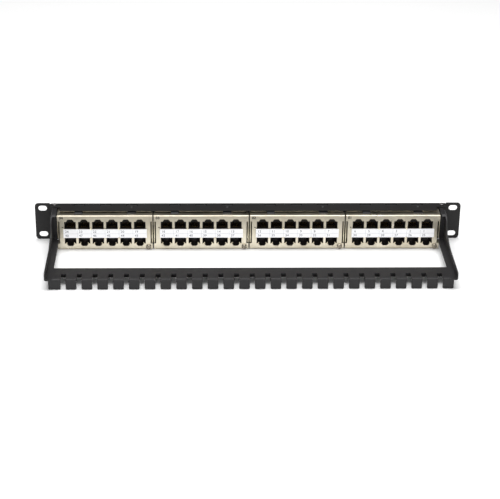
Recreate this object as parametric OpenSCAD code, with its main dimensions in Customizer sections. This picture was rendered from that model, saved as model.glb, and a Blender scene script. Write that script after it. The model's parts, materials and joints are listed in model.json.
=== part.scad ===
// Rack patch panel, one unit high, forty-eight shielded feed-through ports in
// four modules of twelve, with a comb-shaped cable manager behind it.
// Units are millimetres. The origin is the centre of the four rack slots, on the
// rear face of the ears. -Y points to the rear of the rack, where the cable
// manager stands; +Z is up; +X is to the right of someone standing behind it.
// Module 1 is at the +X end, module 4 at the -X end.

/* [Front panel] */
// width over both ears
panel_width = 482.6; // [481:0.1:483]
// height of the front panel
panel_height = 44; // [43.6:0.1:44.4]
// sheet thickness of the front panel
panel_sheet = 1.2; // [1.1:0.1:1.3]
// depth of the top flange behind the ears
flange_depth = 19.5; // [18.5:0.1:20]
// rack slot spacing from side to side
slot_spacing_x = 465.1; // [464.6:0.1:465.6]
// rack slot spacing up and down
slot_spacing_z = 31.75; // [31.5:0.05:32]
// rack slot width
slot_width = 6.5; // [6:0.1:7]
// rack slot length from end to end
slot_length = 9.8; // [9:0.1:10.4]
// corner radius of the ears
ear_radius = 4; // [2:0.5:6]

/* [Modules] */
// spacing of the modules
module_pitch = 107.5; // [107:0.1:108]
// width of one module
module_width = 106.1; // [105.6:0.1:106.4]
// rear face of a module behind the ears
module_depth = 28; // [27.5:0.1:29]
// thickness of the shield sheet
shield_sheet = 0.8; // [0.6:0.1:0.9]
// spacing of the ports
port_pitch = 15.53; // [15.4:0.01:15.6]
// width of a port opening
port_width = 12.3; // [11.9:0.1:12.4]
// depth of the groove along each side of a module
groove_depth = 2.4; // [2:0.1:2.6]
// width of a label strip
label_width = 93; // [90:0.5:94]
// height of a label strip
label_height = 9.95; // [9.6:0.05:10]
// thickness of a label strip
label_sheet = 1.55; // [1:0.05:1.6]
// gap that the ribs of a label strip keep behind it
label_gap = 1.05; // [0.8:0.05:1.1]

/* [Cable manager] */
// top of the bar above the panel centre (negative is below)
bar_top = -10; // [-11:0.5:-9]
// front face of the bar, nearest the modules, behind the ears
bar_front_depth = 98.4; // [98:0.1:103]
// outer face of the fingers behind the ears
finger_depth = 127.3; // [125:0.1:129]
// half width of the bar
bar_half = 216.9; // [216:0.1:217.5]
// sheet thickness of the cable manager
manager_sheet = 1.5; // [1.3:0.1:1.6]
// spacing of the fingers
finger_pitch = 16.81; // [16.7:0.01:16.9]
// width of the slots between fingers
finger_gap = 5.4; // [4.5:0.1:6]
// sideways offset of the comb from the middle
comb_offset = 0.65; // [0:0.05:0.8]
// depth of the slots into the top of the bar
comb_slot_depth = 13.6; // [11:0.1:15]
// height of the upstanding side plates above the bar
side_height = 7; // [5:0.1:9]

/* [Hidden] */
panel_top = panel_height/2;
panel_bottom = -panel_height/2;
flange_under = panel_top - panel_sheet;
rear_y = -module_depth;               // rear face of a module
module_half = module_width/2;
port_columns = [-2.5:1:2.5];          // in port pitches from the module centre
row_centre = -1.7;                    // height midway between the two port rows
row_offset = 4.7;                     // inner edge of a row from that centre
port_height = 8.6;                    // main opening, without the latch notch
// nose of the bezel and the hollow behind its face
nose_half = 48.4;
nose_bottom = -20.3;
nose_top = 16.9;
hollow_half = 46.1;
hollow_bottom = -19.1;
hollow_top = 15.7;
// latches between bezel, shield and flange
latch_pitch = 29.5;
latch_columns = [-1:1];
earth_x = 29.3;                       // dimple and tongue, from the module centre
// circuit board
board_rear = -11.1;
board_front = -9.5;
// screws
screw_radius = 1.5;
snug_hole = 1.55;                     // radius of a close hole round a screw
module_screw_x = 48.4;                // from the module centre
module_screw_z = -18.6;
manager_screw_x = 218.7;              // from the middle
manager_screw_y = -3.6;

function module_x(k) = (2.5 - k)*module_pitch;

// ---------- helpers ----------
// a box from its low and high corners
module span(low, high) { translate(low) cube(high - low); }
// a rectangle from its low and high corners
module rect(x0, y0, x1, y1) { translate([x0, y0]) square([x1 - x0, y1 - y0]); }
// an X-Z outline pushed from y0 to y1
module along_y(y0, y1) {
    translate([0, y1, 0]) rotate([90, 0, 0]) linear_extrude(y1 - y0) children();
}
// a Y-Z outline pushed from x0 to x1
module along_x(x0, x1) {
    translate([x0, 0, 0]) rotate([90, 0, 90]) linear_extrude(x1 - x0) children();
}
// a disc outline, its centre at x, y
module disc(radius, x = 0, y = 0) { translate([x, y]) circle(r = radius, $fn = 48); }
// a round bar along Y
module rod_y(radius, y0, y1) {
    translate([0, y1, 0]) rotate([90, 0, 0]) cylinder(r = radius, h = y1 - y0, $fn = 48);
}
// a quarter of a bend round x, y, in the quadrant given by the signs
module bend(radius, sheet, x, y, sign_x, sign_y) {
    reach = radius + 1;
    translate([x, y]) intersection() {
        difference() {
            disc(radius);
            disc(radius - sheet);
        }
        translate([sign_x > 0 ? 0 : -reach, sign_y > 0 ? 0 : -reach]) square([reach, reach]);
    }
}
// the children and their mirror image across the middle, X = 0
module both_sides() {
    children();
    mirror([1, 0, 0]) children();
}
// the children, drawn from the centre between the port rows, and their image below it
module both_rows() {
    translate([0, 0, row_centre]) {
        children();
        mirror([0, 0, 1]) children();
    }
}
// opening of one port, grown by margin: latch notch up, origin amid its inner edge
module port_outline(margin) {
    half = port_width/2 + margin;
    top = port_height + margin;
    notch_top = top + 2.8;
    polygon([[-half, -margin], [half, -margin], [half, top],
             [4.1 + margin, top], [2.4 + margin, notch_top - 0.4], [1.8 + margin, notch_top],
             [-1.8 - margin, notch_top], [-2.4 - margin, notch_top - 0.4], [-4.1 - margin, top],
             [-half, top]]);
}
// a port of the upper (side = 1) or lower (side = -1) row
module row_port(side, margin) {
    translate([0, row_centre + side*row_offset])
        mirror([0, side > 0 ? 0 : 1]) port_outline(margin);
}
// the twelve openings of a module
module port_outlines(margin) {
    for (i = port_columns) for (side = [-1, 1])
        translate([i*port_pitch, 0]) row_port(side, margin);
}

// ---------- front panel ----------
ear_inner = 224.5;
flange_half = 222.5;
panel_bend = 1.6;        // outer bend radius
nose_clearance = 0.2;    // round the nose of a bezel
dimple_y = -10.6;
dimple_rise = 1.9;       // sphere centre of a dimple above the flange
dimple_depth = 0.6;      // the dimple's underside begins this far below the flange top

module rack_slot_outline() {
    offset_x = (slot_length - slot_width)/2;
    disc(slot_width/2, -offset_x);
    disc(slot_width/2, offset_x);
    rect(-offset_x, -slot_width/2, offset_x, slot_width/2);
}
// the ear at the +X end
module ear_outline() {
    outer = panel_width/2;
    corner_x = outer - ear_radius;
    rect(ear_inner, panel_bottom, corner_x, panel_top);
    rect(corner_x, panel_bottom + ear_radius, outer, panel_top - ear_radius);
    disc(ear_radius, corner_x, panel_bottom + ear_radius);
    disc(ear_radius, corner_x, panel_top - ear_radius);
}
module plate_outline() {
    bend_z = panel_top - panel_bend;
    difference() {
        union() {
            rect(-ear_inner, panel_bottom, ear_inner, bend_z);
            both_sides() {
                ear_outline();
                rect(flange_half, bend_z - 1, ear_inner, panel_top - 0.9);
            }
        }
        for (k = [1:4]) translate([module_x(k), 0])
            rect(-nose_half - nose_clearance, nose_bottom - nose_clearance,
                 nose_half + nose_clearance, nose_top + nose_clearance);
        both_sides() for (side = [-1, 1])
            translate([slot_spacing_x/2, side*slot_spacing_z/2]) rack_slot_outline();
    }
}
module flange_outline() {
    bend_y = panel_sheet - panel_bend;
    rect(-flange_depth, flange_under, bend_y, panel_top);
    bend(panel_bend, panel_sheet, bend_y, panel_top - panel_bend, 1, 1);
}
module at_dimple(k) {
    translate([module_x(k) + earth_x, dimple_y, panel_top + dimple_rise]) children();
}
module front_panel() {
    color([0.16, 0.155, 0.155])
    difference() {
        union() {
            along_y(0, panel_sheet) plate_outline();
            along_x(-flange_half, flange_half) flange_outline();
            // undersides of the pressed earthing dimples
            for (k = [1:4]) at_dimple(k) intersection() {
                sphere(r = 4.2, $fn = 64);
                span([-5, -5, -5], [5, 5, -dimple_rise - dimple_depth]);
            }
        }
        // end notches over the manager's tabs
        both_sides() span([211.9, -flange_depth - 1, flange_under - 1], [230, -10, panel_top + 1]);
        // latch windows
        for (k = [1:4]) for (i = latch_columns) translate([module_x(k) + i*latch_pitch, 0, 0])
            span([-6.5, -6.2, flange_under - 0.2], [6.5, -2.6, panel_top + 1]);
        // earthing dimples
        for (k = [1:4]) at_dimple(k) sphere(r = 3.2, $fn = 64);
        // holes for the manager screws
        both_sides() translate([manager_screw_x, manager_screw_y, flange_under - 1])
            cylinder(r = snug_hole, h = panel_sheet + 2, $fn = 48);
    }
}

// ---------- bezels ----------
back_plate_y = -2.5;     // rear face of the back plate
rail_y = -7;             // rear end of the rails
rail_half = 51.9;

module bezel(k) {
    color([0.08, 0.08, 0.085])
    translate([module_x(k), 0, 0])
    difference() {
        union() {
            // back plate behind the front panel
            along_y(back_plate_y, -0.05) rect(-52.4, -21.7, 52.4, 18.9);
            // nose through the front panel
            along_y(back_plate_y, 5.5) rect(-nose_half, nose_bottom, nose_half, nose_top);
            // rails that guide the shield
            along_y(rail_y, back_plate_y) {
                rect(-rail_half, 17.2, rail_half, 18.2);
                rect(-rail_half, -21.1, 40, -20.5);
            }
            // latch hooks standing in the windows
            for (i = latch_columns) translate([i*latch_pitch, 0, 0]) along_x(-5.5, 5.5)
                polygon([[-5.5, 17.9], [-3, 17.9], [-3, 21.2], [-4.4, 21.2], [-5.5, 20.2]]);
            // boss for the module screw
            translate([module_screw_x, 0, module_screw_z]) rod_y(2.3, -8.5, back_plate_y);
        }
        // hollow of the nose
        along_y(-3, 3.5) rect(-hollow_half, hollow_bottom, hollow_half, hollow_top);
        // port openings in the face
        along_y(3, 6) port_outlines(0);
        // screw hole
        translate([module_screw_x, 0, module_screw_z]) rod_y(snug_hole, -9, 0.5);
    }
}

// ---------- shields ----------
shield_top = 19.2;
shield_front = -4.2;
groove_bottom = -15;
groove_top = 12;
shield_margin = 0.3;     // how far an opening is wider than its jack, each side
tongue_half = 5;
shield_hole_end = rear_y + shield_sheet + 1;   // holes in the rear face are cut to here

// outline from behind, moved inwards by inset
module shield_outline(inset) {
    half = module_half - inset;
    waist = half - groove_depth;
    bottom = panel_bottom + inset;
    top = shield_top - inset;
    low = groove_bottom - inset;
    high = groove_top + inset;
    polygon([[-half, bottom], [half, bottom], [half, low], [waist, low], [waist, high],
             [half, high], [half, top], [-half, top], [-half, high], [-waist, high],
             [-waist, low], [-half, low]]);
}
// side view of a shield with rounded rear edges
module shield_side_outline() {
    low_radius = 1.6;
    top_radius = 1;
    low_y = rear_y + low_radius;
    top_y = rear_y + top_radius;
    rect(low_y, panel_bottom, shield_front, shield_top);
    rect(rear_y, panel_bottom + low_radius, low_y, shield_top - top_radius);
    rect(top_y, shield_top - top_radius - 1, low_y, shield_top);
    disc(low_radius, low_y, panel_bottom + low_radius);
    disc(top_radius, top_y, shield_top - top_radius);
}
// side view of a nib above a label strip
module nib_outline() {
    translate([rear_y, 0])
        polygon([[0.3, 0.2], [-1, 0.2], [-1, -0.4], [-2.8, -0.4], [-2.3, 0.9], [0.3, 1.8]]);
}
module shield(k) {
    color([0.69, 0.67, 0.61])
    translate([module_x(k), 0, 0])
    difference() {
        union() {
            intersection() {
                along_y(rear_y, shield_front) shield_outline(0);
                along_x(-module_half, module_half) shield_side_outline();
            }
            // earthing tongue under the flange
            span([earth_x - tongue_half, -24, shield_top - 0.3],
                 [earth_x + tongue_half, -6.5, shield_top + 0.45]);
            // nibs that hold the label strip
            both_rows() both_sides()
                translate([port_pitch, 0, label_height/2]) along_x(-0.8, 0.8) nib_outline();
            // spring leaves in the side grooves
            both_sides() along_y(rear_y + 0.3, -14) translate([module_half, 0])
                polygon([[-0.45, groove_top + 0.4], [-0.05, groove_top + 0.4], [-0.05, 8],
                         [-0.75, -8.5], [-1.15, -8.5], [-0.45, 8]]);
        }
        // hollow inside
        along_y(rear_y + shield_sheet, shield_front + 1) shield_outline(shield_sheet);
        // shallow recess in the top, either side of the tongue
        for (x = [[-module_half + 1.8, earth_x - tongue_half],
                  [earth_x + tongue_half, module_half - 1.8]])
            span([x[0], -24.6, shield_top - 0.4], [x[1], -15, shield_top + 1]);
        // port openings in the rear face, with small teeth at the lower row's bottom edges
        along_y(rear_y - 0.1, rear_y + shield_sheet + 0.1) difference() {
            port_outlines(shield_margin);
            for (i = port_columns)
                translate([i*port_pitch, row_centre - row_offset - port_height])
                    both_sides() polygon([[5.5, -0.5], [4.2, -0.5], [4.3, 0.7]]);
        }
        // notches that clear the bezel's hooks
        for (i = latch_columns) translate([i*latch_pitch, 0, 0])
            span([-6.2, -6.1, shield_top - 1.5], [6.2, shield_front + 1, shield_top + 1]);
        // hole for the module screw
        translate([module_screw_x, 0, module_screw_z]) rod_y(1.65, rear_y - 1, shield_hole_end);
        // small hole by the label
        translate([-47.3, 0, 4.6]) rod_y(0.8, rear_y - 1, shield_hole_end);
    }
}

// ---------- jack bodies and circuit board ----------
jack_half = 7.05;
jack_gap = 0.1;          // from the centre between the rows to a jack
board_gap = 0.2;         // between a jack and the board
jack_floor = 2;          // wall between a cavity and the board

// twelve separate jack bodies; y and z give their [low, high] limits, cavity_y those
// of the cavities, and floor_y is the rear face of the wall next to the board
module jacks(y, cavity_y, floor_y, z) {
    for (i = port_columns) for (side = [-1, 1]) translate([i*port_pitch, 0, 0]) difference() {
        along_y(y[0], y[1]) rect(-jack_half, side > 0 ? row_centre + jack_gap : z[0],
                                 jack_half, side > 0 ? z[1] : row_centre - jack_gap);
        along_y(cavity_y[0], cavity_y[1]) row_port(side, 0);
        // passage for the eight contacts
        translate([0, floor_y - 0.7, row_centre + side*(row_offset + 1)])
            span([-4.1, 0, -0.35], [4.1, 3, 0.35]);
    }
}
module rear_jacks(k) {
    rear = rear_y + shield_sheet + 0.05;
    front = board_rear - board_gap;
    floor_y = front - jack_floor;
    color([0.07, 0.07, 0.07]) translate([module_x(k), 0, 0])
        jacks(y = [rear, front], cavity_y = [rear - 1, floor_y], floor_y = floor_y,
              z = [-19.2, 15.8]);
}
module front_jacks(k) {
    rear = board_front + board_gap;
    color([0.07, 0.07, 0.07]) translate([module_x(k), 0, 0])
        jacks(y = [rear, 3.4], cavity_y = [rear + jack_floor, 4], floor_y = rear,
              z = [hollow_bottom + 0.2, hollow_top - 0.2]);
}
module circuit_board(k) {
    color([0.05, 0.25, 0.12]) translate([module_x(k), 0, 0])
        along_y(board_rear, board_front)
            rect(-hollow_half - 0.1, hollow_bottom, hollow_half + 0.1, hollow_top);
}

// ---------- contacts ----------
contact_pitch = 1.02;
contact_half = 0.23;
contact_gap = 0.05;      // between a tail and the board

// one contact spring: Y-Z outline from its tail at y = 0 towards -Y
module contact_outline() {
    polygon([[0, 0.85], [0, 1.15], [-10.9, 1.15], [-4.6, 2.1], [-4.7, 2.4],
             [-12.6, 1.15], [-12.6, 0.85]]);
}
// all the contacts on one face of the board, tails at tail_y
module contacts(tail_y, forward) {
    both_rows() for (i = port_columns) for (j = [-3.5:1:3.5])
        translate([i*port_pitch + j*contact_pitch, tail_y, row_offset])
            mirror([0, forward ? 1 : 0, 0])
                along_x(-contact_half, contact_half) contact_outline();
}
module rear_contacts(k) {
    color([0.8, 0.62, 0.25]) translate([module_x(k), 0, 0])
        contacts(board_rear - contact_gap, forward = false);
}
module front_contacts(k) {
    color([0.8, 0.62, 0.25]) translate([module_x(k), 0, 0])
        contacts(board_front + contact_gap, forward = true);
}

// ---------- label strips ----------
label_offset = 0.2;      // strip centre from the module centre, towards +X

module label_strip(k) {
    half = label_width/2;
    front = rear_y - label_gap;
    rear = front - label_sheet;
    color([0.93, 0.93, 0.93])
    translate([module_x(k) + label_offset, 0, 0])
    difference() {
        union() {
            both_rows() span([-half, rear, 0], [half, front, label_height/2]);
            // ribs that stand on the shield
            both_rows() span([-half + 1, front - 0.2, 2], [half - 1, rear_y - 0.05, 3]);
        }
        // shallow ruled line along the middle of the rear face
        translate([0, 0, row_centre]) span([-half - 1, rear - 1, -0.12], [half + 1, rear + 0.05, 0.12]);
        // notches for the shield's nibs
        translate([-label_offset, 0, 0]) both_rows() both_sides()
            translate([port_pitch, 0, label_height/2])
                span([-1, rear_y - 4, -0.55], [1, rear_y + 1, 0.55]);
    }
}

// ---------- module screws ----------
module module_screw(k) {
    head_radius = 2.9;
    dome_y = -1.4;       // where the dome of the head begins
    color([0.62, 0.6, 0.56])
    translate([module_x(k) + module_screw_x, rear_y, module_screw_z])
    difference() {
        union() {
            rod_y(screw_radius, -0.5, module_depth - 2.8);
            rod_y(head_radius, dome_y, -0.03);
            // domed head
            intersection() {
                rod_y(head_radius, -2.2, dome_y);
                translate([0, 3.4, 0]) sphere(r = 5.6, $fn = 64);
            }
        }
        span([-4, -3, -0.45], [4, -1.2, 0.45]);
    }
}

// ---------- cable manager ----------
finger_y = -finger_depth;
bar_under = bar_top - manager_sheet;
plate_x = 221;                 // outer face of a side plate
manager_bend = 2;              // outer bend radius
tab_top = flange_under - 0.05;
tab_bend_z = tab_top - manager_bend;
floor_bend_z = bar_under + manager_bend;
finger_radius = 1.5;           // rounded finger ends

// cross-section of the +X arm: bottom strip, side plate, top tab
module arm_outline() {
    bend_x = plate_x - manager_bend;
    rect(212.9, bar_under, bend_x, bar_top);
    bend(manager_bend, manager_sheet, bend_x, floor_bend_z, 1, -1);
    rect(plate_x - manager_sheet, floor_bend_z, plate_x, tab_bend_z);
    bend(manager_bend, manager_sheet, bend_x, tab_bend_z, 1, 1);
    rect(215.3, tab_top - manager_sheet, bend_x, tab_top);
}
// side outline of an arm: [y, z] points
module arm_side_outline() {
    top = bar_top + side_height;
    end = finger_y - 1;
    corner = 3;
    polygon([[-1, tab_top - 1.55], [-8, tab_top - 1.55], [-8, -8], [-24.9, -8],
        [-28.5, -8], [-28.5, -12], [end, -12], [end, top - corner],
        [end + 0.23, top - corner + 1.15], [end + 0.88, top - 0.88],
        [end + corner - 1.15, top - 0.23], [end + corner, top],
        [-75, top], [-70, top + 0.25], [-66, top + 0.7], [-63, top + 1.3],
        [-60, top + 2.1], [-57, top + 3], [-54, top + 3.9], [-51, top + 4.6],
        [-48, top + 5.3], [-45.8, top + 6.2], [-44.2, top + 7.5], [-42.8, 6.6],
        [-41.2, 9.8], [-39.5, 12.6], [-37.5, 15], [-35.5, 16.8], [-33.5, 18.2],
        [-31.5, 19.3], [-29.5, 20.2], [-27.5, tab_top + 0.15], [-1, tab_top + 0.15]]);
}
// tab, vertical strip and start of the bottom strip, seen from the side
module riser_outline() {
    front = -25;
    rear = front - manager_sheet;
    rect(rear + manager_bend, tab_top - manager_sheet, -20, tab_top);
    bend(manager_bend, manager_sheet, rear + manager_bend, tab_bend_z, -1, 1);
    rect(rear, floor_bend_z, front, tab_bend_z);
    bend(manager_bend, manager_sheet, front - manager_bend, floor_bend_z, 1, -1);
    rect(-32, bar_under, front - manager_bend, bar_top);
}
// side view of the bar: fingers, top and front leg
module bar_side_outline() {
    front = -bar_front_depth;
    bend_z = bar_top - manager_bend;
    rect(finger_y, panel_bottom, finger_y + manager_sheet, bend_z);
    bend(manager_bend, manager_sheet, finger_y + manager_bend, bend_z, -1, 1);
    rect(finger_y + manager_bend, bar_under, front - manager_bend, bar_top);
    bend(manager_bend, manager_sheet, front - manager_bend, bend_z, 1, 1);
    rect(front - manager_sheet, panel_bottom + 0.5, front, bend_z);
}
// the gap between two fingers with rounded finger ends, seen from behind
module gap_outline() {
    half = finger_gap/2;
    corner_x = half + finger_radius;
    corner_z = panel_bottom + finger_radius;
    rect(-half, panel_bottom - 1, half, bar_top + 1);
    difference() {
        rect(-corner_x, panel_bottom - 1, corner_x, corner_z);
        both_sides() disc(finger_radius, corner_x, corner_z);
    }
}
// the arm at the +X end
module arm() {
    intersection() {
        along_y(finger_y - 2, 0) arm_outline();
        along_x(200, 230) arm_side_outline();
    }
    along_x(214.9, 219.9) riser_outline();
}
module cable_manager() {
    corner_x = bar_half - finger_radius;
    corner_z = panel_bottom + finger_radius;
    tab_slot = 1.7;      // half width of a screw slot
    color([0.2, 0.195, 0.2])
    difference() {
        union() {
            along_x(-bar_half, bar_half) bar_side_outline();
            both_sides() arm();
        }
        for (i = [-12:12]) translate([i*finger_pitch + comb_offset, 0, 0]) {
            // slot in the top of the bar
            span([-finger_gap/2, finger_y - 1, bar_top - 4],
                 [finger_gap/2, finger_y + comb_slot_depth, bar_top + 1]);
            // gap between two fingers
            along_y(finger_y - 1, finger_y + manager_sheet + 1) gap_outline();
        }
        // rounded outer corners of the end fingers
        both_sides() along_y(finger_y - 1, finger_y + manager_sheet + 0.3) difference() {
            rect(corner_x, panel_bottom - 1, bar_half + 1, corner_z);
            disc(finger_radius, corner_x, corner_z);
        }
        // open slots in the tabs for the manager screws
        both_sides() translate([manager_screw_x, manager_screw_y, 15]) {
            cylinder(r = tab_slot, h = 6, $fn = 48);
            span([-tab_slot, 0, 0], [tab_slot, -manager_screw_y, 6]);
        }
    }
}

// ---------- manager screws and nuts ----------
// side = -1 is at the -X end, 1 at the +X end
module manager_screw(side) {
    shank_bottom = 16.2;
    head_radius = 2.6;
    dome_z = panel_top + 0.63;     // where the dome of the head begins
    cross_z = [panel_top + 0.6, panel_top + 3];
    color([0.2, 0.2, 0.2])
    translate([side*manager_screw_x, manager_screw_y, 0])
    difference() {
        union() {
            translate([0, 0, shank_bottom])
                cylinder(r = screw_radius, h = panel_top + 0.5 - shank_bottom, $fn = 48);
            translate([0, 0, dome_z - 0.6]) cylinder(r = head_radius, h = 0.6, $fn = 48);
            intersection() {
                translate([0, 0, dome_z]) cylinder(r = head_radius, h = 0.7, $fn = 48);
                translate([0, 0, panel_top - 3.5]) sphere(r = 4.8, $fn = 64);
            }
        }
        span([-3, -0.35, cross_z[0]], [3, 0.35, cross_z[1]]);
        span([-0.35, -1.6, cross_z[0]], [0.35, 1.6, cross_z[1]]);
    }
}
module manager_nuts() {
    color([0.62, 0.6, 0.56])
    both_sides() translate([manager_screw_x, manager_screw_y, 16.8]) difference() {
        cylinder(r = 3.1, h = 2.4, $fn = 6);
        translate([0, 0, -1]) cylinder(r = snug_hole, h = 5, $fn = 48);
    }
}

front_panel();
bezel(1);  // bezel_1
bezel(2);  // bezel_2
bezel(3);  // bezel_3
bezel(4);  // bezel_4
shield(1);  // shield_1
shield(2);  // shield_2
shield(3);  // shield_3
shield(4);  // shield_4
rear_jacks(1);  // rear_jacks_1
rear_jacks(2);  // rear_jacks_2
rear_jacks(3);  // rear_jacks_3
rear_jacks(4);  // rear_jacks_4
front_jacks(1);  // front_jacks_1
front_jacks(2);  // front_jacks_2
front_jacks(3);  // front_jacks_3
front_jacks(4);  // front_jacks_4
circuit_board(1);  // circuit_board_1
circuit_board(2);  // circuit_board_2
circuit_board(3);  // circuit_board_3
circuit_board(4);  // circuit_board_4
rear_contacts(1);  // rear_contacts_1
rear_contacts(2);  // rear_contacts_2
rear_contacts(3);  // rear_contacts_3
rear_contacts(4);  // rear_contacts_4
front_contacts(1);  // front_contacts_1
front_contacts(2);  // front_contacts_2
front_contacts(3);  // front_contacts_3
front_contacts(4);  // front_contacts_4
label_strip(1);  // label_strip_1
label_strip(2);  // label_strip_2
label_strip(3);  // label_strip_3
label_strip(4);  // label_strip_4
module_screw(1);  // module_screw_1
module_screw(2);  // module_screw_2
module_screw(3);  // module_screw_3
module_screw(4);  // module_screw_4
cable_manager();
manager_screw(-1);  // manager_screw_left
manager_screw(1);  // manager_screw_right
manager_nuts();
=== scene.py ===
# A 48-port patch panel with a cable manager: four shielded modules of two rows of six jacks.
# X runs along the panel and Z is up. The jack bezels face the front, +Y. The labelled
# shields face the rear, -Y, where the camera stands. Module 1 is at the +X end.
import bpy
import bmesh
import json
import math
from mathutils import Vector, Matrix


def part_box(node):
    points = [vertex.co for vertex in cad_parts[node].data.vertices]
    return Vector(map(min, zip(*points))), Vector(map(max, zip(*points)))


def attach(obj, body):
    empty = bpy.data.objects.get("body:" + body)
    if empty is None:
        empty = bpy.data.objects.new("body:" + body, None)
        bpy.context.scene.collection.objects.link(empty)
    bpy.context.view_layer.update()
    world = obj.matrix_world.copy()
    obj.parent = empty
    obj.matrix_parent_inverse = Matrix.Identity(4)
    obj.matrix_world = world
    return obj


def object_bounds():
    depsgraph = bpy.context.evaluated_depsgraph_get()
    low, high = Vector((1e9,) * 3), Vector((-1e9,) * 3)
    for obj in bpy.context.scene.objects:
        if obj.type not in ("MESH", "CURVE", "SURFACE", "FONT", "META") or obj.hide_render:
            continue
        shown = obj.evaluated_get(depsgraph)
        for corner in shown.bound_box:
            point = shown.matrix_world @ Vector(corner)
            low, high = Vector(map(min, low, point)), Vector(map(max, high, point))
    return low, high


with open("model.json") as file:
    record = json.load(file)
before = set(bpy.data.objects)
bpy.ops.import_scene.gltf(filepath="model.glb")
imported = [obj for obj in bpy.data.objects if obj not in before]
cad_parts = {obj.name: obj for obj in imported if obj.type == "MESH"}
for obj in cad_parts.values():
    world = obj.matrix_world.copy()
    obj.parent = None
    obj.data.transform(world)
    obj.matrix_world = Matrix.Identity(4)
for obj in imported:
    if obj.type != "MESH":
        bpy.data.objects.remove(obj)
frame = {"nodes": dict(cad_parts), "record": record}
cad_lo, cad_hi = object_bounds()

# Lengths are in metres, except those marked mm.
MM = 0.001
MODULES = 4
PORTS = 6             # jacks in one row of a module
PORT_PITCH = 15.53    # mm
ROWS_Z = -1.7         # mm, midway between the two rows


# ---------------------------------------------------------- shader building
def srgb(red, green, blue):
    """Linear colour from 0-255 sRGB values."""
    def linear(value):
        value = value / 255.0
        return value / 12.92 if value <= 0.04045 else ((value + 0.055) / 1.055) ** 2.4
    return (linear(red), linear(green), linear(blue), 1.0)


def brighten(colour, gain, lift=0.0):
    return tuple(min(1.0, c * gain + lift) for c in colour[:3]) + (1,)


class Shader:
    """A material with a Principled surface, textured in object coordinates."""

    def __init__(self, name):
        self.material = bpy.data.materials.new(name)
        self.material.use_nodes = True
        self.tree = self.material.node_tree
        self.tree.nodes.clear()
        output = self.new("ShaderNodeOutputMaterial")
        self.surface = self.new("ShaderNodeBsdfPrincipled")
        self.feed(self.surface.outputs[0], output.inputs[0])
        self.coords = self.new("ShaderNodeTexCoord").outputs["Object"]

    def new(self, kind, **settings):
        node = self.tree.nodes.new(kind)
        for key, value in settings.items():
            setattr(node, key, value)
        return node

    def feed(self, value, socket):
        """Set a socket to a constant, or link another socket to it."""
        if isinstance(value, (int, float, tuple)):
            socket.default_value = value
        else:
            self.tree.links.new(value, socket)

    def noise(self, scale=1.0, detail=3.0, rough=0.5, distortion=0.0, stretch=None):
        """Noise texture; stretch scales the coordinates axis by axis."""
        vector = self.coords
        if stretch is not None:
            mapping = self.new("ShaderNodeMapping")
            self.feed(stretch, mapping.inputs["Scale"])
            self.feed(vector, mapping.inputs["Vector"])
            vector = mapping.outputs["Vector"]
        node = self.new("ShaderNodeTexNoise")
        self.feed(scale, node.inputs["Scale"])
        self.feed(detail, node.inputs["Detail"])
        self.feed(rough, node.inputs["Roughness"])
        self.feed(distortion, node.inputs["Distortion"])
        self.feed(vector, node.inputs["Vector"])
        return node.outputs["Fac"]

    def voronoi(self, scale, feature="F1"):
        node = self.new("ShaderNodeTexVoronoi", feature=feature)
        self.feed(scale, node.inputs["Scale"])
        self.feed(self.coords, node.inputs["Vector"])
        return node.outputs["Distance"]

    def remap(self, value, span=(0.3, 0.7), to=(0.0, 1.0)):
        node = self.new("ShaderNodeMapRange")
        self.feed(span[0], node.inputs["From Min"])
        self.feed(span[1], node.inputs["From Max"])
        self.feed(to[0], node.inputs["To Min"])
        self.feed(to[1], node.inputs["To Max"])
        self.feed(value, node.inputs["Value"])
        return node.outputs["Result"]

    def math(self, operation, first, second):
        node = self.new("ShaderNodeMath", operation=operation)
        self.feed(first, node.inputs[0])
        self.feed(second, node.inputs[1])
        return node.outputs[0]

    def mix(self, factor, a, b, blend="MIX"):
        node = self.new("ShaderNodeMix", data_type="RGBA", blend_type=blend)
        self.feed(factor, node.inputs["Factor"])
        colours = {s.name: s for s in node.inputs if s.type == "RGBA"}
        self.feed(a, colours["A"])
        self.feed(b, colours["B"])
        return [s for s in node.outputs if s.type == "RGBA"][0]

    def bump(self, height, strength, distance, normal=None):
        node = self.new("ShaderNodeBump")
        self.feed(strength, node.inputs["Strength"])
        self.feed(distance, node.inputs["Distance"])
        self.feed(height, node.inputs["Height"])
        if normal is not None:
            self.feed(normal, node.inputs["Normal"])
        return node.outputs["Normal"]

    def rounded(self, radius, samples=8):
        """Normal that turns smoothly over the edges."""
        bevel = self.new("ShaderNodeBevel", samples=samples)
        self.feed(radius, bevel.inputs["Radius"])
        return bevel.outputs["Normal"]

    def edges(self, radius, gain, amount):
        """About amount along convex and concave edges, 0 on open faces; the mask for painted
        edge highlights.
        """
        bevel = self.rounded(radius, samples=6)
        geometry = self.new("ShaderNodeNewGeometry")
        dot = self.new("ShaderNodeVectorMath", operation="DOT_PRODUCT")
        self.feed(bevel, dot.inputs[0])
        self.feed(geometry.outputs["Normal"], dot.inputs[1])
        turn = self.math("SUBTRACT", 1.0, dot.outputs["Value"])
        turn = self.math("MULTIPLY", turn, gain)
        clamp = self.new("ShaderNodeClamp")
        self.feed(turn, clamp.inputs["Value"])
        return self.math("MULTIPLY", clamp.outputs[0], amount)

    def finish(self, **inputs):
        """Feed the surface inputs, with _ standing for a space, and return the material."""
        for key, value in inputs.items():
            self.feed(value, self.surface.inputs[key.replace("_", " ")])
        return self.material


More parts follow.
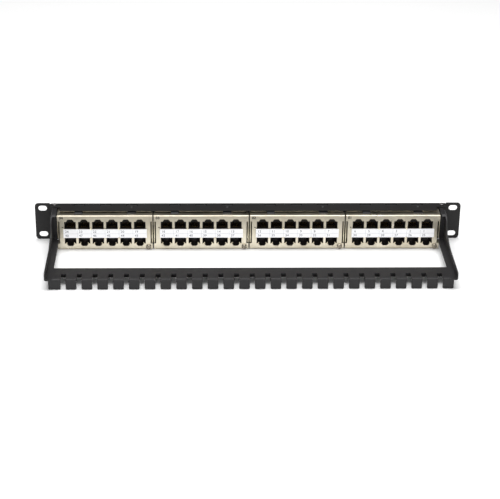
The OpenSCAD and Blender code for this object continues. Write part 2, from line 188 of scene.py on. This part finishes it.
# ---------------------------------------------------------------- materials
def powder_coat(name, base, light, rough):
    s = Shader(name)
    fine = s.noise(scale=2600, detail=2, rough=0.55)
    peel = s.noise(scale=620)
    broad = s.noise(scale=22, rough=0.6)
    edges = s.edges(radius=0.0004, gain=2.2, amount=0.35)
    colour = s.mix(s.remap(broad), base, brighten(base, gain=1.22))
    colour = s.mix(s.remap(fine, span=(0.45, 0.75), to=(0, 0.35)), colour, light)
    # painted highlight: edges are lightened towards the light colour, as a sheen
    colour = s.mix(edges, colour, light)
    roughness = s.math("ADD", s.remap(broad, to=(rough - 0.05, rough + 0.06)),
                       s.remap(fine, to=(-0.05, 0.05)))
    normal = s.bump(fine, strength=0.28, distance=0.00012, normal=s.rounded(radius=0.00032))
    normal = s.bump(peel, strength=0.22, distance=0.0003, normal=normal)
    return s.finish(Base_Color=colour, Roughness=roughness, Normal=normal, IOR=1.37)


def nickel(name, painted_light_gain=1.0, rounding=0.00035):
    s = Shader(name)
    grain = s.noise(rough=0.6, stretch=(260, 2200, 2200))
    cloud = s.noise(scale=38, detail=4, rough=0.6)
    smudge = s.noise(scale=120, rough=0.55, distortion=0.6)
    pits = s.noise(scale=1500, detail=2)
    edges = s.edges(radius=0.0005, gain=1.8, amount=0.35)
    colour = s.mix(s.remap(cloud, span=(0.32, 0.7)), srgb(214, 207, 189), srgb(197, 189, 170))
    colour = s.mix(s.remap(smudge, span=(0.5, 0.75), to=(0, 0.25)), colour, srgb(168, 160, 140))
    # painted highlight: edges are lightened to pale nickel
    colour = s.mix(edges, colour, srgb(238, 232, 216))
    roughness = s.math("ADD", s.remap(cloud, to=(0.27, 0.36)), s.remap(smudge, to=(-0.03, 0.06)))
    normal = s.bump(grain, strength=0.07, distance=0.0001, normal=s.rounded(rounding))
    normal = s.bump(pits, strength=0.05, distance=0.0001, normal=normal)
    normal = s.bump(cloud, strength=0.10, distance=0.0015, normal=normal)
    # the gain scales the colour: below 1 it paints shade into the nickel, above 1 it paints
    # light
    if painted_light_gain != 1.0:
        painted_light_tint = (painted_light_gain, painted_light_gain * 0.97, painted_light_gain * 0.88, 1.0)
        colour = s.mix(1.0, colour, painted_light_tint, blend="MULTIPLY")
    # nickel above z 19.27 mm, the raised tongue on top, is made near-black and non-metallic
    axes = s.new("ShaderNodeSeparateXYZ")
    s.feed(s.coords, axes.inputs[0])
    black_top_mask = s.remap(axes.outputs["Z"], span=(0.01924, 0.01930))
    colour = s.mix(black_top_mask, colour, srgb(34, 32, 31))
    metallic = s.remap(black_top_mask, span=(0, 1), to=(1, 0))
    roughness = s.math("ADD", roughness, s.math("MULTIPLY", black_top_mask, 0.2))
    return s.finish(Base_Color=colour, Metallic=metallic, Roughness=roughness, Normal=normal)


def moulded(name, base, rough):
    s = Shader(name)
    spark = s.noise(scale=1900, detail=2)
    flow = s.noise(scale=90, rough=0.55, distortion=0.4)
    edges = s.edges(radius=0.0003, gain=2.0, amount=0.3)
    pale = brighten(base, gain=1.9, lift=0.006)
    colour = s.mix(s.remap(flow, span=(0.3, 0.72), to=(0, 0.5)), base, pale)
    # painted highlight: edges are lightened to the pale colour
    colour = s.mix(edges, colour, pale)
    roughness = s.math("ADD", s.remap(flow, to=(rough - 0.05, rough + 0.05)),
                       s.remap(spark, to=(-0.04, 0.04)))
    normal = s.bump(spark, strength=0.22, distance=0.00008, normal=s.rounded(radius=0.00025))
    return s.finish(Base_Color=colour, Roughness=roughness, Normal=normal, IOR=1.48)


def gold(name):
    s = Shader(name)
    fine = s.noise(scale=900, detail=2)
    broad = s.noise(scale=150)
    colour = s.mix(s.remap(broad), srgb(178, 148, 92), srgb(146, 116, 64))
    return s.finish(Base_Color=colour, Metallic=1.0, Roughness=s.remap(fine, to=(0.18, 0.34)),
                    Normal=s.bump(fine, strength=0.1, distance=0.00005))


def screw_metal(name, base, spots, rough):
    """Turned metal; rough is the (least, most) roughness."""
    s = Shader(name)
    turning = s.noise(detail=2, stretch=(1600, 300, 1600))
    spot = s.noise(scale=500, rough=0.6)
    edges = s.edges(radius=0.0003, gain=1.8, amount=0.4)
    colour = s.mix(s.remap(spot, span=(0.35, 0.7)), base, spots)
    # painted highlight: edges are lightened to a brighter copy of the base
    colour = s.mix(edges, colour, brighten(base, gain=1.5))
    roughness = s.remap(spot, to=rough)
    normal = s.bump(turning, strength=0.15, distance=0.00008, normal=s.rounded(radius=0.0002))
    return s.finish(Base_Color=colour, Metallic=1.0, Roughness=roughness, Normal=normal)


def board(name):
    s = Shader(name)
    weave = s.voronoi(scale=1300)
    cells = s.voronoi(scale=260, feature="DISTANCE_TO_EDGE")
    traces = s.remap(cells, span=(0.02, 0.05), to=(1, 0))
    cloud = s.noise(scale=60)
    colour = s.mix(s.remap(cloud), srgb(14, 82, 45), srgb(10, 66, 36))
    colour = s.mix(s.math("MULTIPLY", traces, 0.45), colour, srgb(38, 122, 66))
    return s.finish(Base_Color=colour, Roughness=s.remap(weave, span=(0, 0.6), to=(0.28, 0.42)),
                    Normal=s.bump(weave, strength=0.12, distance=0.00006))


def label_stock(name):
    s = Shader(name)
    fibre = s.noise(rough=0.6, stretch=(1400, 1400, 2400))
    cloud = s.noise(scale=70)
    colour = s.mix(s.remap(cloud), srgb(250, 250, 251), srgb(244, 245, 247))
    colour = s.mix(s.remap(fibre, span=(0.5, 0.8), to=(0, 0.12)), colour, srgb(222, 224, 228))
    roughness = s.remap(fibre, to=(0.42, 0.56))
    normal = s.bump(fibre, strength=0.08, distance=0.00005, normal=s.rounded(radius=0.0002))
    return s.finish(Base_Color=colour, Roughness=roughness, Normal=normal)


def ink(name, base, mottle):
    s = Shader(name)
    fine = s.noise(scale=1500, detail=2)
    return s.finish(Base_Color=s.mix(s.remap(fine), base, mottle),
                    Roughness=s.remap(fine, to=(0.55, 0.68)),
                    Normal=s.bump(fine, strength=0.05, distance=0.00003))


def floor_white():
    s = Shader("floor_white")
    broad = s.noise(scale=3, detail=2)
    colour = s.mix(s.remap(broad), (0.94, 0.94, 0.94, 1), (0.93, 0.93, 0.93, 1))
    return s.finish(Base_Color=colour, Roughness=0.6)


SLOT_MATERIALS = {
    "black_powder_coat": powder_coat("powder_coat", base=srgb(17, 16, 16),
                                     light=srgb(44, 43, 44), rough=0.50),
    "bezel_plastic": moulded("bezel_plastic", base=srgb(28, 28, 29), rough=0.48),
    "nickel_shield": nickel("nickel_shield"),
    "jack_plastic": moulded("jack_plastic", base=srgb(27, 23, 21), rough=0.5),
    "board_green": board("board_green"),
    "gold_contact": gold("gold_contact"),
    "label_white": label_stock("label_white"),
    "zinc_screw": screw_metal("zinc_screw", base=srgb(158, 151, 138),
                              spots=srgb(104, 98, 87), rough=(0.2, 0.36)),
    "black_screw": screw_metal("black_screw", base=srgb(120, 117, 117),
                               spots=srgb(84, 82, 82), rough=(0.30, 0.45)),
}
# springs: the shield's nickel lightened by about a tenth, painted light so they read as lit
SPRING = nickel("nickel_spring_painted_light", painted_light_gain=1.12, rounding=0.00010)
# webs: the shield's nickel darkened to a fifth, painted shade of the unlit groove
WEB = nickel("nickel_web_painted_shade", painted_light_gain=0.2)
MANAGER_COAT = powder_coat("powder_coat_manager", base=srgb(25, 24, 25),
                           light=srgb(58, 57, 59), rough=0.48)
INK_GREY = ink("ink_pale_grey", srgb(142, 145, 152), srgb(126, 129, 136))
INK_LINE = ink("ink_line_grey", srgb(186, 188, 193), srgb(176, 178, 184))
INK_DARK = ink("ink_dark", srgb(46, 40, 32), srgb(34, 30, 24))
INK_WHITE = ink("ink_white", srgb(225, 226, 226), srgb(205, 206, 207))

slot_of = {part["node"]: part["material_slot"] for part in frame["record"]["subparts"]}
for name, ob in frame["nodes"].items():
    material = MANAGER_COAT if name == "cable_manager" else SLOT_MATERIALS[slot_of[name]]
    if not ob.material_slots:
        ob.data.materials.append(material)
    for material_slot in ob.material_slots:
        material_slot.material = material


# ------------------------------------------------------------- mesh helpers
# text lies in X-Y facing +Z; these turn it to face the rear (-Y) or the front (+Y)
FACE_REAR = Matrix.Rotation(math.radians(90), 4, "X")
FACE_FRONT = Matrix.Rotation(math.radians(180), 4, "Z") @ FACE_REAR


def mesh_from(bm, name):
    mesh = bpy.data.meshes.new(name)
    bm.to_mesh(mesh)
    bm.free()
    return mesh


def text_mesh(body, size, place, facing, align="CENTER", fat=0.0):
    """Text at place; fat thickens the strokes."""
    curve = bpy.data.curves.new("text", "FONT")
    curve.body = body
    curve.size = size
    curve.extrude = 0.00002
    curve.offset = fat
    curve.align_x = align
    curve.align_y = "CENTER"
    curve.resolution_u = 3
    ob = bpy.data.objects.new("text", curve)
    bpy.context.scene.collection.objects.link(ob)
    bpy.context.view_layer.update()
    depsgraph = bpy.context.evaluated_depsgraph_get()
    mesh = bpy.data.meshes.new_from_object(ob.evaluated_get(depsgraph))
    bpy.data.objects.remove(ob)
    bpy.data.curves.remove(curve)
    mesh.transform(Matrix.Translation(place) @ facing)
    return mesh


def block(*spans):
    """Box from its (low, high) spans in x, y and z."""
    bm = bmesh.new()
    bmesh.ops.create_cube(bm, size=1.0)
    for v in bm.verts:
        v.co = [(low + high) / 2 + c * (high - low) for c, (low, high) in zip(v.co, spans)]
    return mesh_from(bm, "block")


def prism(outline, start, end, axis):
    """Closed prism, in mm, along axis; outline holds the other two coordinates in order."""
    bm = bmesh.new()
    rings = []
    for a in (start, end):
        ring = []
        for u, v in outline:
            co = {"x": (a, u, v), "y": (u, a, v), "z": (u, v, a)}[axis]
            ring.append(bm.verts.new(Vector(co) * MM))
        rings.append(ring)
    first, last = rings
    for i in range(len(outline)):
        j = (i + 1) % len(outline)
        bm.faces.new((first[i], first[j], last[j], last[i]))
    bm.faces.new(first)
    bm.faces.new(list(reversed(last)))
    bmesh.ops.recalc_face_normals(bm, faces=bm.faces)
    return mesh_from(bm, "prism")


def strip(points, thickness):
    """Outline of a bent strip that follows points."""
    left, right = [], []
    for i, (x, y) in enumerate(points):
        before = points[max(i - 1, 0)]
        after = points[min(i + 1, len(points) - 1)]
        dx, dy = after[0] - before[0], after[1] - before[1]
        length = math.hypot(dx, dy)
        nx = -dy / length * thickness / 2
        ny = dx / length * thickness / 2
        left.append((x + nx, y + ny))
        right.append((x - nx, y - ny))
    return left + right[::-1]


def join(name, meshes, material, body):
    """Join meshes into one object that rides on body."""
    bm = bmesh.new()
    for mesh in meshes:
        bm.from_mesh(mesh)
    bmesh.ops.remove_doubles(bm, verts=bm.verts, dist=1e-7)
    mesh = mesh_from(bm, name)
    mesh.materials.append(material)
    ob = bpy.data.objects.new(name, mesh)
    bpy.context.scene.collection.objects.link(ob)
    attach(ob, body)


def port_numbers(k):
    """Column, number and row sign (+1 upper, -1 lower) of each port of module k."""
    for i in range(PORTS):
        upper = PORTS * k - i
        yield i, upper, 1
        yield i, upper + MODULES * PORTS, -1


def port_x(centre, i):
    """Middle of column i, in mm."""
    return centre + (i - (PORTS - 1) / 2) * PORT_PITCH


# ------------------------------------------------------------ label printing
LINE_MARGIN = 0.0005      # from a line's ends to the label's edges
LINE_SUNK = 0.00004       # depth of the lines into the label
COLUMN_LINE = {"half": 0.00010, "proud": 0.00002}
MIDDLE_LINE = {"half": 0.00011, "proud": 0.000025}
LABEL_TEXT_X = 0.0039     # from a cell's -X edge
LABEL_TEXT_Z = 0.00245    # from the middle line


def print_label(k, lo, hi):
    face = lo.y - 0.00001
    cell = (hi.x - lo.x) / PORTS
    middle = (lo.z + hi.z) / 2

    def depth(line):
        return (face - line["proud"], face + LINE_SUNK)

    lines = []
    half = COLUMN_LINE["half"]
    for i in range(1, PORTS):
        x = lo.x + i * cell
        lines.append(block((x - half, x + half), depth(COLUMN_LINE),
                           (lo.z + LINE_MARGIN, hi.z - LINE_MARGIN)))
    half = MIDDLE_LINE["half"]
    lines.append(block((lo.x + LINE_MARGIN, hi.x - LINE_MARGIN), depth(MIDDLE_LINE),
                       (middle - half, middle + half)))
    join(f"label_lines_{k}", lines, INK_LINE, f"label_{k}")

    # the highest number of a row stands at the -X end
    digits = []
    for i, number, row in port_numbers(k):
        place = (lo.x + i * cell + LABEL_TEXT_X, face, middle + row * LABEL_TEXT_Z)
        digits.append(text_mesh(str(number), 0.0040, place, FACE_REAR, fat=0.00005))
    join(f"label_numbers_{k}", digits, INK_GREY, f"label_{k}")


# ------------------------------------------------------------ shield details
def stamp_shield(k, centre, face):
    """Number at the upper -X corner of the shield."""
    place = (centre - 0.0508, face + 0.00004, 0.0163)
    number = text_mesh("%02d" % k, 0.0044, place, FACE_REAR, align="LEFT", fat=0.00016)
    join(f"shield_number_{k}", [number], INK_DARK, f"module_{k}")


# All in mm.
SHOULDER_Z = ROWS_Z - 13.6    # shoulder of the lower openings
# spur: x from the port's middle, z from the shoulder
SPUR = [(6.2, -0.2), (5.4, -0.05), (4.8, 0.4), (4.3, 1.0), (3.95, 1.75)]
SPUR_THICK = 0.8
SPUR_DEPTH = (-0.3, 0.8)      # y from the face
LEAF_TOP = 11.2
LEAF_LOW = -14.2
LEAF_LOW_OUTER = -9.2
OUTER_SIDES = ((1, 1), (MODULES, -1))    # (module, side) beside the manager's arms
LEAF_INSETS = (0.86, 0.08)    # the leaf's two edges, from the shield's side
LEAF_THICK = 0.34
LEAF_DEPTH = 1.15             # y of the leaf's ends from the face
LEAF_BOW = 0.8
LEAF_STEPS = 12
# web: inset from the shield's side, y from the face; its dark colour is painted shade of the
# groove
WEB_LINE = [(2.05, 2.6), (1.7, 4.2), (0.7, 7.5)]
WEB_THICK = 0.3
WEB_OVERRUN = 0.4             # past each end of the leaf


def add_springs(k, centre, half, face):
    """Earthing spurs in the lower openings, and spring leaves with sloped webs at both sides;
    the springs are painted light, the webs painted shade.
    """
    metal, webs = [], []
    for i in range(PORTS):
        port = port_x(centre, i)
        for side in (-1, 1):
            line = [(port + side * x, SHOULDER_Z + z) for x, z in SPUR]
            near, far = SPUR_DEPTH
            metal.append(prism(strip(line, SPUR_THICK), face + near, face + far, "y"))
    for side in (-1, 1):
        # the outer leaves stop above the arm's inner flange, which passes along the groove
        low = LEAF_LOW_OUTER if (k, side) in OUTER_SIDES else LEAF_LOW
        leaf = []
        for j in range(LEAF_STEPS + 1):
            t = j / LEAF_STEPS
            leaf.append((face + LEAF_DEPTH - LEAF_BOW * math.sin(math.pi * t),
                         low + (LEAF_TOP - low) * t))
        x0, x1 = sorted(centre + side * (half - inset) for inset in LEAF_INSETS)
        metal.append(prism(strip(leaf, LEAF_THICK), x0, x1, "x"))
        web = [(centre + side * (half - inset), face + y) for inset, y in WEB_LINE]
        webs.append(prism(strip(web, WEB_THICK), low - WEB_OVERRUN, LEAF_TOP + WEB_OVERRUN, "z"))
    # the springs' lighter nickel is painted light
    join(f"shield_springs_{k}", metal, SPRING, f"module_{k}")
    # the webs' dark nickel is painted shade
    join(f"shield_webs_{k}", webs, WEB, f"module_{k}")


# ------------------------------------------------------------- bezel details
# latch arm seen from the side, (y, z) in mm
ARM_OUTLINE = [(-24.2, 19.35), (-23.6, 19.32), (-6.0, 19.32), (-6.0, 20.25),
               (-22.6, 20.25), (-23.8, 20.0), (-24.2, 19.7)]
ARM_X = -33.8             # mm, -X side of the arm from the module's middle
ARM_WIDTH = 8.6           # mm
BEZEL_TEXT_X = 0.0061     # from the port's middle
BEZEL_TEXT_Z = 0.01590    # from the middle of the rows


def add_latch_arm(k, centre):
    """Latch arm of the bezel, seen under the flange."""
    start = centre + ARM_X
    arm = prism(ARM_OUTLINE, start, start + ARM_WIDTH, "x")
    join(f"bezel_latch_arm_{k}", [arm], SLOT_MATERIALS["bezel_plastic"], "panel")


def print_bezel(k, centre):
    """Port numbers on the front of the bezel."""
    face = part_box(f"bezel_{k}")[1].y + 0.00001
    digits = []
    for i, number, row in port_numbers(k):
        place = (port_x(centre, i) * MM + BEZEL_TEXT_X, face, ROWS_Z * MM + row * BEZEL_TEXT_Z)
        digits.append(text_mesh(str(number), 0.0026, place, FACE_FRONT))
    join(f"bezel_numbers_{k}", digits, INK_WHITE, "panel")


for k in range(1, MODULES + 1):
    label_lo, label_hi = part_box(f"label_strip_{k}")
    shield_lo, shield_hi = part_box(f"shield_{k}")
    centre = (shield_lo.x + shield_hi.x) / 2
    centre_mm = centre / MM
    print_label(k, label_lo, label_hi)
    # the label's +Y side gives the shield's rear face
    stamp_shield(k, centre, face=label_hi.y)
    add_springs(k, centre_mm, half=(shield_hi.x - shield_lo.x) / MM / 2,
                face=label_hi.y / MM + 0.05)
    add_latch_arm(k, centre_mm)
    print_bezel(k, centre_mm)

# -------------------------------------------------------------------- stage
scene = bpy.context.scene
bm = bmesh.new()
bmesh.ops.create_grid(bm, x_segments=2, y_segments=2, size=6.0)
floor = bpy.data.objects.new("floor", mesh_from(bm, "floor"))
floor.location = (0, 0, cad_lo[2] - 0.0002)
scene.collection.objects.link(floor)
floor.data.materials.append(floor_white())

scene.world = bpy.data.worlds.new("studio")
scene.world.use_nodes = True
background = scene.world.node_tree.nodes["Background"]
background.inputs["Color"].default_value = (1, 1, 1, 1)
background.inputs["Strength"].default_value = 0.12


def area(name, location, width, height, power):
    """Rectangular light aimed at the origin."""
    light = bpy.data.lights.new(name, "AREA")
    light.shape = "RECTANGLE"
    light.size = width
    light.size_y = height
    light.energy = power
    ob = bpy.data.objects.new(name, light)
    ob.location = location
    ob.rotation_euler = (Vector() - Vector(location)).to_track_quat("-Z", "Y").to_euler()
    scene.collection.objects.link(ob)


area("key", location=(0.0, 0.12, 1.95), width=2.2, height=1.3, power=60)
area("front_fill", location=(0.0, -2.4, 1.0), width=2.2, height=0.9, power=34)

# ------------------------------------------------------------------- camera
TARGET = (2.17, 0, -36.23)    # mm
DISTANCE = 1792.98            # mm
TILT = math.radians(25.64)    # downward
YAW = math.radians(2.07)      # from +Y towards +X
ROLL = math.radians(-0.76)

lens = bpy.data.cameras.new("camera")
lens.sensor_fit = "HORIZONTAL"
lens.sensor_width = 36.0
lens.lens = 112.49784
lens.clip_start = 0.05
lens.clip_end = 50
camera = bpy.data.objects.new("camera", lens)
forward = Vector((math.sin(YAW) * math.cos(TILT), math.cos(YAW) * math.cos(TILT),
                  -math.sin(TILT)))
level = Vector((math.cos(YAW), -math.sin(YAW), 0))
down = forward.cross(level)
right = level * math.cos(ROLL) + down * math.sin(ROLL)
up = level * math.sin(ROLL) - down * math.cos(ROLL)
eye = (Vector(TARGET) - forward * DISTANCE) * MM
turn = Matrix((right, up, -forward)).transposed()
# PLACEHOLDER_AXES
camera.matrix_world = Matrix.Translation(eye) @ turn.to_4x4()
scene.collection.objects.link(camera)
scene.camera = camera
scene.view_settings.view_transform = "Standard"
scene.view_settings.look = "None"
scene.view_settings.exposure = 0.0
